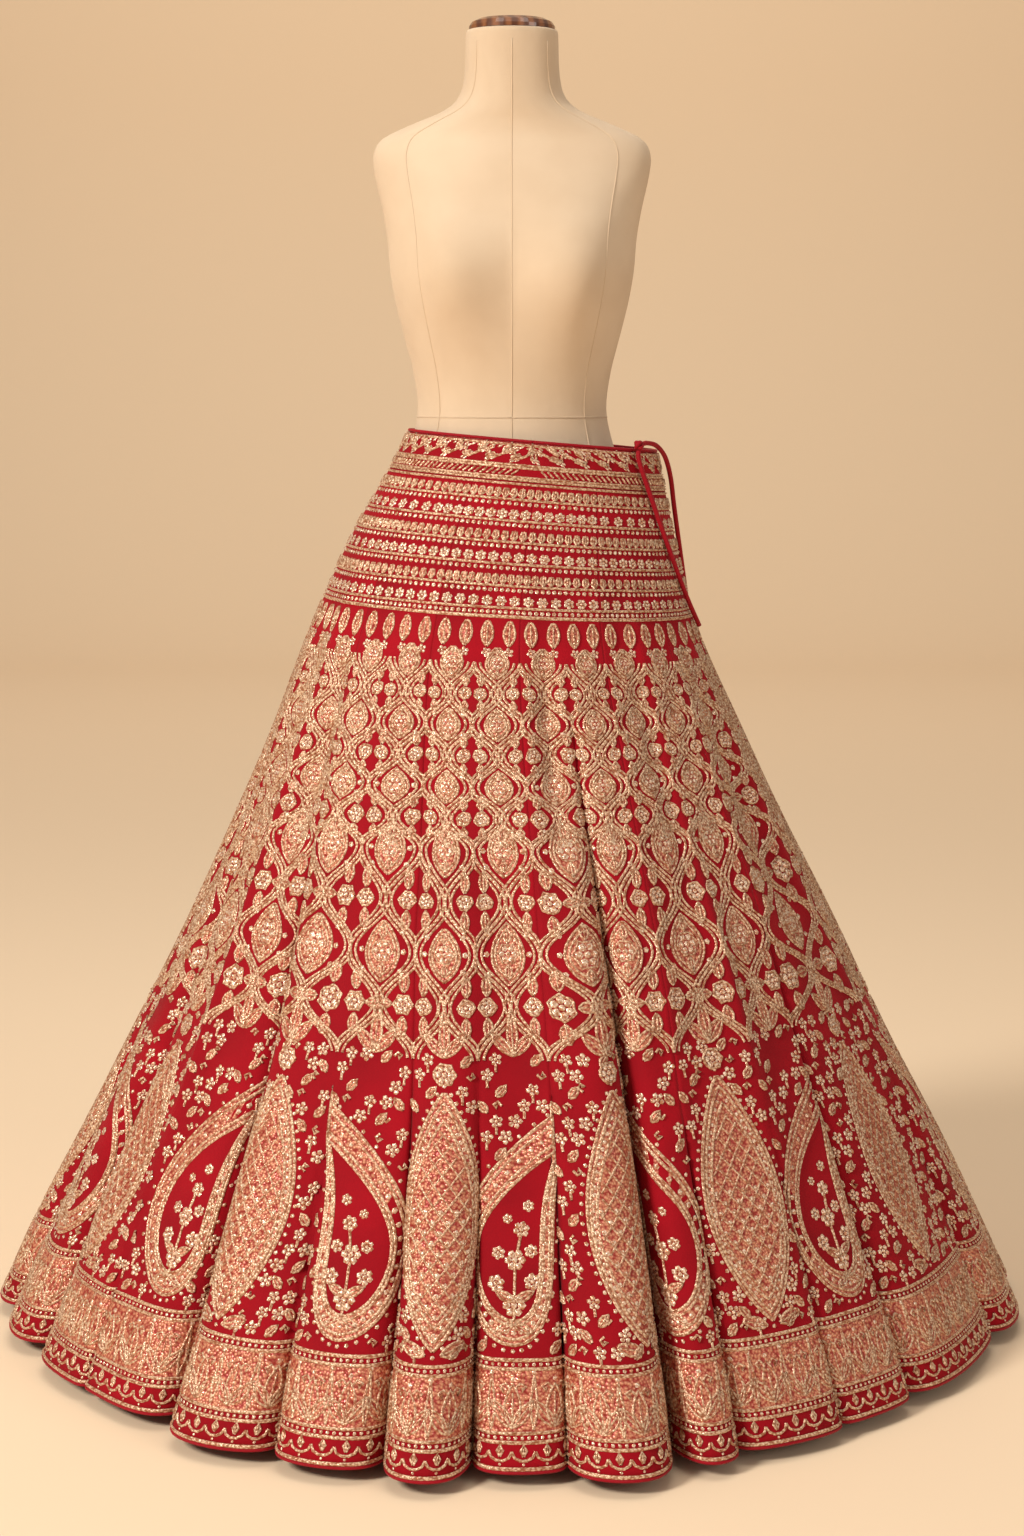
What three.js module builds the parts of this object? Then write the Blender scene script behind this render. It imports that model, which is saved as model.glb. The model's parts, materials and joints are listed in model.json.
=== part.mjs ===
// A bridal lehenga skirt on a limbless dress form: fourteen flared gores that fall in folds from
// a tilted waistband, a piped hem just clear of the floor, and a drawstring tied at one hip.
// Millimetres, +Z up, the front faces -Y. The origin is the centre of the stand's foot.
import * as THREE from "three";

// Driving sizes.
const CLOTH = 2.5; // wall of the embroidered, interlined cloth
const SEAM_GAP = 0.4; // between neighbouring pieces
const HEM_Z = 18;
const WAIST_SEAM_Z = 977; // where the gores meet the waistband, at the middle
const WAIST_START = -189.6; // bearing the gores are counted from at the waist
const BAND_HEIGHT = 42;
const WAIST_TILT = 0.085; // the waistband is worn lower on +X, by this slope
const TILT_FADE_Z = 640; // the rows of the skirt lie level from here down
const GORE_COUNT = 14;
const LOBES_PER_GORE = 2;
const PIPING_HEIGHT = 3;
const SHARPEST_CORNER = 0.5; // keeps the wall from growing thick at a sharp fold
const TIE_DIAMETER = 5.5;
const TIE_REST = 3.5; // from the cloth to the middle of a tie that rests on it
const KNOT_RADIUS = 6;

// The outline of the skirt over its fold crests, by height: half width, half depth, sideways shift.
const SKIRT_OUTLINE = [
  { z: 1040, width: 135, depth: 100, shift: 26 },
  { z: 977, width: 157, depth: 119, shift: 18 },
  { z: 905, width: 185, depth: 150, shift: 5 },
  { z: 822, width: 214, depth: 186, shift: -4 },
  { z: 698, width: 267, depth: 246, shift: -6 },
  { z: 577, width: 321, depth: 308, shift: -3 },
  { z: 421, width: 396, depth: 389, shift: 0 },
  { z: 246, width: 487, depth: 477, shift: 0 },
  { z: 126, width: 547, depth: 536, shift: 0 },
  { z: 10, width: 603, depth: 592, shift: 0 },
];

// The valleys between the lobes of the hem, anticlockwise from the back. angle is the bearing at
// the hem from the front centre, towards +X; depth is the fold's depth there; start is the height
// where it begins; crest moves the crest of the lobe that follows it in or out.
const VALLEYS = [
  { angle: -168, depth: 58, start: 430, crest: 2 },
  { angle: -156, depth: 88, start: 640, crest: -12 },
  { angle: -143, depth: 50, start: 400, crest: 4 },
  { angle: -131, depth: 100, start: 700, crest: -16 },
  { angle: -119, depth: 46, start: 380, crest: -8 },
  { angle: -107, depth: 76, start: 600, crest: 0 },
  { angle: -95, depth: 46, start: 400, crest: 6 },
  { angle: -83.5, depth: 44, start: 420, crest: -10 },
  { angle: -69, depth: 88, start: 700, crest: -24 },
  { angle: -54, depth: 40, start: 400, crest: -28 },
  { angle: -39.6, depth: 96, start: 730, crest: -4 },
  { angle: -25, depth: 46, start: 430, crest: -4 },
  { angle: -13.1, depth: 54, start: 400, crest: 12 },
  { angle: -4.2, depth: 66, start: 430, crest: -18 },
  { angle: 5.6, depth: 46, start: 400, crest: 14 },
  { angle: 17.3, depth: 118, start: 790, crest: -8 },
  { angle: 23.8, depth: 54, start: 430, crest: -24 },
  { angle: 37.6, depth: 52, start: 460, crest: -34 },
  { angle: 50, depth: 70, start: 600, crest: -30 },
  { angle: 74, depth: 46, start: 420, crest: -6 },
  { angle: 91, depth: 64, start: 540, crest: 2 },
  { angle: 103, depth: 46, start: 420, crest: -8 },
  { angle: 117, depth: 94, start: 680, crest: -14 },
  { angle: 130, depth: 46, start: 380, crest: -4 },
  { angle: 142, depth: 74, start: 560, crest: 4 },
  { angle: 155, depth: 50, start: 420, crest: -8 },
  { angle: 167, depth: 100, start: 740, crest: 8 },
  { angle: 180, depth: 50, start: 400, crest: 0 },
];

// Soft troughs of the upper skirt: bearing, spread, depth, and the heights each runs between.
const TROUGHS = [
  { angle: 10.5, spread: 3.2, depth: 15, low: 520, high: 860 },
  { angle: -17, spread: 4.5, depth: 8, low: 470, high: 800 },
  { angle: 38, spread: 4, depth: 11, low: 480, high: 840 },
  { angle: 64, spread: 4, depth: 10, low: 450, high: 780 },
  { angle: -50, spread: 4, depth: 12, low: 470, high: 830 },
  { angle: -84, spread: 4, depth: 9, low: 430, high: 760 },
  { angle: 112, spread: 4, depth: 10, low: 480, high: 820 },
  { angle: 151, spread: 3.6, depth: 13, low: 520, high: 850 },
  { angle: -160, spread: 4.2, depth: 9, low: 460, high: 800 },
  { angle: -122, spread: 3.8, depth: 12, low: 500, high: 840 },
];

// Heights of the skirt's rows, and the places of a lobe's columns as shares of its width.
const ROW_HEIGHTS = [WAIST_SEAM_Z, 905, 822, 735, 640, 540, 430, 320, 210, 110, HEM_Z];
const LOBE_COLUMNS = [0, 0.12, 0.35, 0.65, 0.88];
const LOBE_FULLNESS = 0.09; // how far a lobe's flanks bulge towards its valleys

// The dress form: half width, half depth, forward shift and bust by height.
const FORM_SECTIONS = [
  { z: 782, width: 126, depth: 96, forward: 0, bust: 0 },
  { z: 800, width: 138, depth: 107, forward: 0, bust: 0 },
  { z: 850, width: 150, depth: 114, forward: -2, bust: 0 },
  { z: 900, width: 150, depth: 114, forward: -4, bust: 0 },
  { z: 945, width: 139, depth: 106, forward: -3, bust: 0 },
  { z: 985, width: 126, depth: 96, forward: -1, bust: 0 },
  { z: 1020, width: 114, depth: 87, forward: 0, bust: 0 },
  { z: 1055, width: 107.5, depth: 82, forward: 0, bust: 0 },
  { z: 1095, width: 112, depth: 86, forward: 2, bust: 2 },
  { z: 1135, width: 122, depth: 91, forward: 3, bust: 12 },
  { z: 1175, width: 132, depth: 95, forward: 2, bust: 27 },
  { z: 1210, width: 138, depth: 97, forward: 0, bust: 31 },
  { z: 1245, width: 141, depth: 95, forward: -4, bust: 22 },
  { z: 1280, width: 147, depth: 88, forward: -9, bust: 9 },
  { z: 1315, width: 155, depth: 77, forward: -15, bust: 1 },
  { z: 1340, width: 157, depth: 66, forward: -19, bust: 0 },
  { z: 1358, width: 146, depth: 57, forward: -21, bust: 0 },
  { z: 1374, width: 112, depth: 53, forward: -20, bust: 0 },
  { z: 1388, width: 78, depth: 52, forward: -18, bust: 0 },
  { z: 1404, width: 60, depth: 51, forward: -16, bust: 0 },
  { z: 1430, width: 53.5, depth: 50, forward: -13, bust: 0 },
  { z: 1470, width: 52, depth: 50, forward: -11, bust: 0 },
  { z: 1476, width: 50, depth: 48, forward: -11, bust: 0 },
];
const FORM_COLUMNS = 36;
const BUST_BEARING = 34; // degrees either side of the front
const BUST_SPREAD = 25;

const CAP = { radius: 47, low: 1476.4, thickness: 13, forward: -11 };
const POLE = { radius: 17, low: 22.4, high: 781.6 };
const FOOT = { radius: 225, rim: 8, hub: 30, height: 22 };

const radians = THREE.MathUtils.degToRad;
const clamp01 = (x) => Math.min(1, Math.max(0, x));
const ease = (x) => clamp01(x) ** 2 * (3 - 2 * clamp01(x));

// A smooth value of one column of a table between its rows, which run up or down in z.
function tableValue(rows, column, z) {
  const rising = rows[rows.length - 1].z > rows[0].z;
  const ordered = rising ? rows : [...rows].reverse();
  const last = ordered.length - 2;
  const i = ordered.findIndex((row, n) => n === last || z < ordered[n + 1].z);
  const slope = (n) => {
    const a = ordered[Math.max(n - 1, 0)];
    const b = ordered[Math.min(n + 1, last + 1)];
    return (b[column] - a[column]) / (b.z - a.z);
  };
  const step = ordered[i + 1].z - ordered[i].z;
  const t = clamp01((z - ordered[i].z) / step);
  const [p, q] = [ordered[i][column], ordered[i + 1][column]];
  return (
    (2 * t ** 3 - 3 * t ** 2 + 1) * p +
    (t ** 3 - 2 * t ** 2 + t) * step * slope(i) +
    (3 * t ** 2 - 2 * t ** 3) * q +
    (t ** 3 - t ** 2) * step * slope(i + 1)
  );
}

const down = (z) => clamp01((WAIST_SEAM_Z - z) / (WAIST_SEAM_Z - HEM_Z));

// The bearing of valley n at a height: evenly spread at the waist, as the table says at the hem.
function valleyBearing(n, z) {
  const count = VALLEYS.length;
  const turn = Math.floor(n / count);
  const index = n - turn * count;
  const even = WAIST_START + (360 / count) * (index + 1);
  const settled = ease(down(z) / 0.8);
  return turn * 360 + even + (VALLEYS[index].angle - even) * settled;
}

function valleyDepth(n, z) {
  const valley = VALLEYS[((n % VALLEYS.length) + VALLEYS.length) % VALLEYS.length];
  return valley.depth * clamp01((valley.start - z) / (valley.start - HEM_Z)) ** 1.25;
}

// How far the cloth stands in from the crest outline at a place along the lobes.
function foldDepth(lobe, share, bearing, z) {
  const left = valleyDepth(lobe, z);
  const right = valleyDepth(lobe + 1, z);
  const depth = left + (right - left) * ease(share);
  const rise = Math.max(0, Math.sin(Math.PI * share)) ** 0.62;
  const crest = VALLEYS[((lobe % VALLEYS.length) + VALLEYS.length) % VALLEYS.length].crest;
  const settled = down(z) ** 1.5;
  let sunk = depth * (1 - rise) - crest * settled * Math.sin(Math.PI * share);
  for (const trough of TROUGHS) {
    const off = ((bearing - trough.angle + 540) % 360) - 180;
    const along = clamp01((z - trough.low) / (trough.high - trough.low));
    const profile = Math.sin(Math.PI * along) ** 2;
    sunk += trough.depth * profile * Math.exp(-((off / trough.spread) ** 2));
  }
  return sunk;
}

// A point set in from the crest outline at an angle from the front, its row leaning by a slope.
function outlinePoint(angle, z, inset, tilt) {
  const at = (column) => tableValue(SKIRT_OUTLINE, column, z);
  const x = at("shift") + (at("width") - inset) * Math.sin(angle);
  return new THREE.Vector3(x, -(at("depth") - inset) * Math.cos(angle), z - tilt * x);
}

// A point of the skirt's outer face. place counts lobes from the first valley.
function skirtPoint(place, z) {
  const lobe = Math.floor(place);
  const share = place - lobe;
  const from = valleyBearing(lobe, z);
  const full = share - LOBE_FULLNESS * down(z) * Math.sin(2 * Math.PI * share);
  const bearing = from + (valleyBearing(lobe + 1, z) - from) * full;
  const a = radians(bearing);
  const sunk = foldDepth(lobe, share, bearing, z);
  const tilt = WAIST_TILT * ease((z - TILT_FADE_Z) / (WAIST_SEAM_Z - TILT_FADE_Z));
  return outlinePoint(a, z, sunk, tilt);
}

// The level step from the outer face to the inner face at a column between its two neighbours.
function wallStep(before, place, after, z) {
  const point = skirtPoint(place, z);
  const downward = skirtPoint(place, z - 2).sub(skirtPoint(place, z + 2));
  const left = downward.clone().cross(point.clone().sub(skirtPoint(before, z))).normalize();
  const right = downward.clone().cross(skirtPoint(after, z).sub(point)).normalize();
  const normal = left.clone().add(right).normalize();
  const level = normal.clone().setZ(0);
  return level.multiplyScalar(-CLOTH / (level.lengthSq() * Math.max(SHARPEST_CORNER, normal.dot(left))));
}

function facetedGeometry(points, faces) {
  const geometry = new THREE.BufferGeometry();
  const numbers = points.flatMap((point) => point.toArray());
  geometry.setAttribute("position", new THREE.Float32BufferAttribute(numbers, 3));
  geometry.setIndex(faces);
  return geometry;
}

// A closed wall between two grids of points, [row][column]. A ring joins its last column to its first.
function wallGeometry(outer, inner, ring = false) {
  const rows = outer.length;
  const columns = outer[0].length;
  const points = [...outer.flat(), ...inner.flat()];
  const faces = [];
  const at = (side, r, c) => side * rows * columns + r * columns + (c % columns);
  const quad = (a, b, c, d) => faces.push(a, b, c, a, c, d);
  const steps = ring ? columns : columns - 1;
  for (let c = 0; c < steps; c++) {
    for (let r = 0; r < rows - 1; r++) {
      quad(at(0, r, c), at(0, r + 1, c), at(0, r + 1, c + 1), at(0, r, c + 1));
      quad(at(1, r, c), at(1, r, c + 1), at(1, r + 1, c + 1), at(1, r + 1, c));
    }
    quad(at(0, 0, c), at(0, 0, c + 1), at(1, 0, c + 1), at(1, 0, c));
    quad(at(0, rows - 1, c), at(1, rows - 1, c), at(1, rows - 1, c + 1), at(0, rows - 1, c + 1));
  }
  for (let r = 0; r < rows - 1 && !ring; r++) {
    quad(at(0, r, 0), at(1, r, 0), at(1, r + 1, 0), at(0, r + 1, 0));
    quad(at(0, r, steps), at(0, r + 1, steps), at(1, r + 1, steps), at(1, r, steps));
  }
  return facetedGeometry(points, faces);
}

// One gore from valley to valley, its side edges drawn in by half a seam gap.
function goreGeometry(gore) {
  const first = gore * LOBES_PER_GORE;
  const places = [];
  for (let lobe = 0; lobe < LOBES_PER_GORE; lobe++) {
    places.push(...LOBE_COLUMNS.map((share) => first + lobe + share));
  }
  places.push(first + LOBES_PER_GORE);
  const beyond = [first - 1 + LOBE_COLUMNS.at(-1), ...places, places.at(-1) + LOBE_COLUMNS[1]];
  const outer = [];
  const inner = [];
  for (const z of ROW_HEIGHTS) {
    const face = places.map((place) => skirtPoint(place, z));
    const back = places.map((place, c) => {
      return face[c].clone().add(wallStep(beyond[c], place, beyond[c + 2], z));
    });
    [0, places.length - 1].forEach((edge, side) => {
      const inward = radians(valleyBearing(places[edge], z));
      const shift = new THREE.Vector3(Math.cos(inward), Math.sin(inward), 0);
      shift.multiplyScalar((side ? -1 : 1) * SEAM_GAP / 2);
      face[edge].add(shift);
      back[edge].add(shift);
    });
    outer.push(face);
    inner.push(back);
  }
  return wallGeometry(outer, inner);
}

// The waistband's outer face, a ring that leans with the hips and carries the waist's tilt.
function bandPoint(bearing, height, inset) {
  return outlinePoint(radians(bearing), WAIST_SEAM_Z + height, inset, WAIST_TILT);
}

function bandRing(low, high, outset, thickness, rows) {
  const columns = 48;
  const grid = (inset) =>
    Array.from({ length: rows }, (_, r) =>
      Array.from({ length: columns }, (_, c) =>
        bandPoint((360 / columns) * c, high + ((low - high) * r) / (rows - 1), inset),
      ),
    );
  return wallGeometry(grid(-outset), grid(thickness - outset), true);
}

// The piping under the hem: the footprint of the gores' lower edge, carried on round.
function hemPipingGeometry() {
  const places = [];
  for (let lobe = 0; lobe < VALLEYS.length; lobe++) {
    places.push(...LOBE_COLUMNS.map((share) => lobe + share));
  }
  const before = (c) => (c ? places[c - 1] : LOBE_COLUMNS.at(-1) - 1);
  const after = (c) => places[c + 1] ?? VALLEYS.length;
  const face = places.map((place) => skirtPoint(place, HEM_Z));
  const back = face.map((point, c) => point.clone().add(wallStep(before(c), places[c], after(c), HEM_Z)));
  const ring = (points, drop) => points.map((point) => point.clone().setZ(HEM_Z - drop));
  const drops = [SEAM_GAP, SEAM_GAP + PIPING_HEIGHT];
  return wallGeometry(drops.map((drop) => ring(face, drop)), drops.map((drop) => ring(back, drop)), true);
}

// The form's torso: stacked rounded sections with the bust carried forward as two soft mounds.
function formGeometry() {
  const points = [];
  for (const row of FORM_SECTIONS) {
    for (let c = 0; c < FORM_COLUMNS; c++) {
      const bearing = (360 / FORM_COLUMNS) * c;
      const side = bearing > 180 ? bearing - 360 : bearing;
      const mound = Math.exp(-(((Math.abs(side) - BUST_BEARING) / BUST_SPREAD) ** 2));
      const a = radians(bearing);
      const front = row.depth * Math.cos(a) + row.forward + row.bust * mound;
      points.push(new THREE.Vector3(row.width * Math.sin(a), -front, row.z));
    }
  }
  const last = FORM_SECTIONS.length - 1;
  const [low, high] = [FORM_SECTIONS[0], FORM_SECTIONS[last]];
  points.push(...[low, high].map((row) => new THREE.Vector3(0, -row.forward, row.z)));
  const [bottom, top] = [points.length - 2, points.length - 1];
  const faces = [];
  for (let c = 0; c < FORM_COLUMNS; c++) {
    const next = (c + 1) % FORM_COLUMNS;
    for (let r = 0; r < last; r++) {
      const [a, b] = [r * FORM_COLUMNS + c, r * FORM_COLUMNS + next];
      faces.push(a, b, b + FORM_COLUMNS, a, b + FORM_COLUMNS, a + FORM_COLUMNS);
    }
    faces.push(bottom, next, c, top, last * FORM_COLUMNS + c, last * FORM_COLUMNS + next);
  }
  return facetedGeometry(points, faces);
}

// A turned piece from its profile of radius and height, standing on +Z.
function turned(profile, segments) {
  const geometry = new THREE.LatheGeometry(profile.map(([r, z]) => new THREE.Vector2(r, z)), segments);
  return geometry.rotateX(Math.PI / 2);
}

// The drawstring's knot, and the stops of its ties from the knot down: bearing, height and lift.
const KNOT = { bearing: 52, z: 1024, lift: 5.5 };
const FRONT_TIE = [
  { bearing: 51.5, z: 1010, lift: 3.5 },
  { bearing: 53.5, z: 992, lift: 3 },
  { bearing: 57, z: 968, lift: 2.5 },
  { bearing: 62, z: 935, lift: 2 },
  { bearing: 67.5, z: 895, lift: 2 },
  { bearing: 74, z: 855, lift: 2 },
  { bearing: 81, z: 818, lift: 2 },
];
const SIDE_TIE = [
  { bearing: 59, z: 1027, lift: 5.5 },
  { bearing: 67, z: 1024, lift: 7 },
  { bearing: 76, z: 1012, lift: 7.5 },
  { bearing: 85, z: 990, lift: 6 },
  { bearing: 91, z: 958, lift: 3.5 },
  { bearing: 96, z: 920, lift: 2.5 },
  { bearing: 100, z: 880, lift: 2 },
  { bearing: 103, z: 842, lift: 2 },
];

function tiePoint({ bearing, z, lift }) {
  const high = z > WAIST_SEAM_Z;
  const at = high ? bandPoint(bearing, z - WAIST_SEAM_Z, 0) : surfaceAtBearing(bearing, z);
  const out = new THREE.Vector3(Math.sin(radians(bearing)), -Math.cos(radians(bearing)), 0.3).normalize();
  return at.addScaledVector(out, lift + TIE_REST);
}

// The point of the skirt's outer face at a bearing, found by the lobe that spans it.
function surfaceAtBearing(bearing, z) {
  let lobe = 0;
  while (valleyBearing(lobe + 1, z) < bearing) lobe++;
  const from = valleyBearing(lobe, z);
  return skirtPoint(lobe + (bearing - from) / (valleyBearing(lobe + 1, z) - from), z);
}

function tieGeometry(route) {
  const centre = tiePoint(KNOT);
  const stops = route.map(tiePoint);
  const away = stops[0].clone().sub(centre).setLength(KNOT_RADIUS + SEAM_GAP);
  const path = new THREE.CatmullRomCurve3([centre.clone().add(away), ...stops]);
  const section = new THREE.Shape();
  const sides = 8;
  for (let n = 0; n < sides; n++) {
    const a = (2 * Math.PI * n) / sides;
    const [x, y] = [(TIE_DIAMETER / 2) * Math.cos(a), (TIE_DIAMETER / 2) * Math.sin(a)];
    if (n === 0) section.moveTo(x, y);
    else section.lineTo(x, y);
  }
  const steps = Math.round(path.getLength() / (2.5 * TIE_DIAMETER));
  return new THREE.ExtrudeGeometry(section, { steps, bevelEnabled: false, extrudePath: path });
}

// Finishes.
const finish = (color, roughness, metalness = 0) =>
  new THREE.MeshStandardMaterial({ color, roughness, metalness, side: THREE.FrontSide });
const EMBROIDERED = finish(0xb5202f, 0.55);
const GOLD_BAND = finish(0xd8ae84, 0.5, 0.2);
const CRIMSON = finish(0xa80a26, 0.5);
const CANVAS = finish(0xdcc7a4, 0.85);
const WOOD = finish(0x6d3a20, 0.3);
const IRON = finish(0x2a2725, 0.5, 0.4);

const lehenga = new THREE.Group();

function add(name, geometry, material) {
  const mesh = new THREE.Mesh(geometry, material);
  mesh.name = name;
  lehenga.add(mesh);
  return mesh;
}

for (let gore = 0; gore < GORE_COUNT; gore++) {
  add(`gore_${String(gore + 1).padStart(2, "0")}`, goreGeometry(gore), EMBROIDERED);
}
add("hem_piping", hemPipingGeometry(), CRIMSON);
add("waistband", bandRing(SEAM_GAP, BAND_HEIGHT, 0, CLOTH, 3), GOLD_BAND);
add("waist_piping", bandRing(BAND_HEIGHT + SEAM_GAP, BAND_HEIGHT + SEAM_GAP + 4, 0.7, 4, 2), CRIMSON);

const knot = new THREE.SphereGeometry(KNOT_RADIUS, 12, 8);
add("drawstring_knot", knot, CRIMSON).position.copy(tiePoint(KNOT));
add("drawstring_front_tie", tieGeometry(FRONT_TIE), CRIMSON);
add("drawstring_side_tie", tieGeometry(SIDE_TIE), CRIMSON);

add("form_torso", formGeometry(), CANVAS);
const capTop = CAP.low + CAP.thickness;
add(
  "form_neck_cap",
  turned(
    [
      [0, CAP.low],
      [CAP.radius + 1.5, CAP.low],
      [CAP.radius + 1.5, CAP.low + 4],
      [CAP.radius - 1.5, CAP.low + 8.5],
      [CAP.radius - 9, capTop - 1],
      [0, capTop],
    ],
    32,
  ),
  WOOD,
).position.y = -CAP.forward;
add(
  "stand_pole",
  turned([[0, POLE.low], [POLE.radius, POLE.low], [POLE.radius, POLE.high], [0, POLE.high]], 20),
  IRON,
);
add(
  "stand_foot",
  turned(
    [
      [0, 0],
      [FOOT.radius, 0],
      [FOOT.radius, FOOT.rim],
      [FOOT.hub + 20, FOOT.height - 5],
      [FOOT.hub, FOOT.height],
      [0, FOOT.height],
    ],
    40,
  ),
  IRON,
);

export default lehenga;
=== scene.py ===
import json
import math
import bpy
import bmesh
import numpy as np
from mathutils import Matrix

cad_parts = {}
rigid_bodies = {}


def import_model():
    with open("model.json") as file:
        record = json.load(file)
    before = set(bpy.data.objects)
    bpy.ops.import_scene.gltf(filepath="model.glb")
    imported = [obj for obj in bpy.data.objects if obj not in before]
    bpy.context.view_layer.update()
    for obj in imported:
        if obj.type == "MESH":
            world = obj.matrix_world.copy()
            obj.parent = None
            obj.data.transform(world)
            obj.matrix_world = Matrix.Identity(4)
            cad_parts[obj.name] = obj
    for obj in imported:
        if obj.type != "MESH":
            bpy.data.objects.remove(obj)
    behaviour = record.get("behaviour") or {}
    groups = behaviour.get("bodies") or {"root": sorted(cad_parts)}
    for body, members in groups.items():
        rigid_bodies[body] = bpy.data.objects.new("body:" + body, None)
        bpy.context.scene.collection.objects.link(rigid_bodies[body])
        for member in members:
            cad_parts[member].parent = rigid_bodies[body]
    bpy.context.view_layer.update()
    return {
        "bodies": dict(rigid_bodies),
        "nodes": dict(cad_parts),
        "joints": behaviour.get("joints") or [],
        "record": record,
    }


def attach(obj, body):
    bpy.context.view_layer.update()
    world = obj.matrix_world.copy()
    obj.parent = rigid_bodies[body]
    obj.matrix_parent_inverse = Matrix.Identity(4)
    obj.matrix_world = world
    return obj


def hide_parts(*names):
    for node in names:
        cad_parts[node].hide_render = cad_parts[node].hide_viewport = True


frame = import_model()

# heights and tilt in millimetres, the start in degrees, the thickness in metres
skirt = {"seamZ": 977.0, "hemZ": 18.0, "start": -189.6, "tilt": 0.085, "tiltFade": 640.0,
         "fullness": 0.09, "gores": 14, "lobes": 2, "thickness": 0.0016, "rows": 104, "columns": 18}

# half width, half depth and sideways shift of the skirt over its crests, by height in millimetres
outline = np.array([
    (10, 603, 592, 0), (126, 547, 536, 0), (246, 487, 477, 0), (421, 396, 389, 0),
    (577, 321, 308, -3), (698, 267, 246, -6), (822, 214, 186, -4), (905, 185, 150, 5),
    (977, 157, 119, 18), (1040, 135, 100, 26),
], float)
# valleys of the hem: bearing, depth, height it starts at, and how far the next crest stands out
valleys = np.array([
    (-168, 58, 430, 2), (-156, 88, 640, -12), (-143, 50, 400, 4), (-131, 100, 700, -16), (-119, 46, 380, -8),
    (-107, 76, 600, 0), (-95, 46, 400, 6), (-83.5, 44, 420, -10), (-69, 88, 700, -24), (-54, 40, 400, -28),
    (-39.6, 96, 730, -4), (-25, 46, 430, -4), (-13.1, 54, 400, 12), (-4.2, 66, 430, -18), (5.6, 46, 400, 14),
    (17.3, 118, 790, -8), (23.8, 54, 430, -24), (37.6, 52, 460, -34), (50, 70, 600, -30), (74, 46, 420, -6),
    (91, 64, 540, 2), (103, 46, 420, -8), (117, 94, 680, -14), (130, 46, 380, -4), (142, 74, 560, 4),
    (155, 50, 420, -8), (167, 100, 740, 8), (180, 50, 400, 0),
], float)
# soft troughs of the upper skirt: bearing, spread, depth, lowest and highest height
troughs = np.array([
    (10.5, 3.2, 15, 520, 860), (-17, 4.5, 8, 470, 800), (38, 4, 11, 480, 840), (64, 4, 10, 450, 780),
    (-50, 4, 12, 470, 830), (-84, 4, 9, 430, 760), (112, 4, 10, 480, 820), (151, 3.6, 13, 520, 850),
    (-160, 4.2, 9, 460, 800), (-122, 3.8, 12, 500, 840),
], float)
lobeCount = len(valleys)


def ease(x):
    x = np.clip(x, 0, 1)
    return x * x * (3 - 2 * x)


def outlineAt(column, z):
    slopes = np.gradient(outline[:, column], outline[:, 0])
    i = np.clip(np.searchsorted(outline[:, 0], z) - 1, 0, len(outline) - 2)
    step = outline[i + 1, 0] - outline[i, 0]
    t = np.clip((z - outline[i, 0]) / step, 0, 1)
    return ((2 * t**3 - 3 * t**2 + 1) * outline[i, column] + (t**3 - 2 * t**2 + t) * step * slopes[i]
            + (3 * t**2 - 2 * t**3) * outline[i + 1, column] + (t**3 - t**2) * step * slopes[i + 1])


def down(z):
    return np.clip((skirt["seamZ"] - z) / (skirt["seamZ"] - skirt["hemZ"]), 0, 1)


def valleyBearing(n, z):
    turn, index = np.divmod(n, lobeCount)
    even = skirt["start"] + 360 / lobeCount * (index + 1)
    return turn * 360 + even + (valleys[index, 0] - even) * ease(down(z) / 0.8)


def valleyDepth(n, z):
    row = valleys[n % lobeCount]
    return row[..., 1] * np.clip((row[..., 2] - z) / (row[..., 2] - skirt["hemZ"]), 0, 1) ** 1.25


def outlinePoint(angle, z, inset, tilt):
    x = outlineAt(3, z) + (outlineAt(1, z) - inset) * np.sin(angle)
    y = -(outlineAt(2, z) - inset) * np.cos(angle)
    return np.stack([x, y, z - tilt * x], -1) / 1000


# points of the cloth's outer face, in metres, with the slack of heavy cloth between its folds
def skirtPoint(place, z):
    place, z = np.broadcast_arrays(np.asarray(place, float), np.asarray(z, float))
    lobe = np.floor(place).astype(int)
    share = place - lobe
    full = share - skirt["fullness"] * down(z) * np.sin(2 * np.pi * share)
    start = valleyBearing(lobe, z)
    bearing = start + (valleyBearing(lobe + 1, z) - start) * full
    left = valleyDepth(lobe, z)
    depth = left + (valleyDepth(lobe + 1, z) - left) * ease(share)
    arch = np.sin(np.pi * share).clip(0, 1)
    sunk = depth * (1 - arch ** 0.62) - valleys[lobe % lobeCount, 3] * down(z) ** 1.5 * arch
    for angle, spread, deep, low, high in troughs:
        off = (bearing - angle + 540) % 360 - 180
        along = np.clip((z - low) / (high - low), 0, 1)
        sunk = sunk + deep * np.sin(np.pi * along) ** 2 * np.exp(-(off / spread) ** 2)
    a = np.radians(bearing)
    slack = np.sin(z / 61 + 3 * np.sin(5 * a)) + 0.7 * np.sin(z / 37 + 11 * a)
    sunk = sunk + 1.1 * slack * ease(down(z) * 5) * ease((1 - down(z)) * 12)
    tilt = skirt["tilt"] * ease((z - skirt["tiltFade"]) / (skirt["seamZ"] - skirt["tiltFade"]))
    return outlinePoint(a, z, sunk, tilt)


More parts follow.
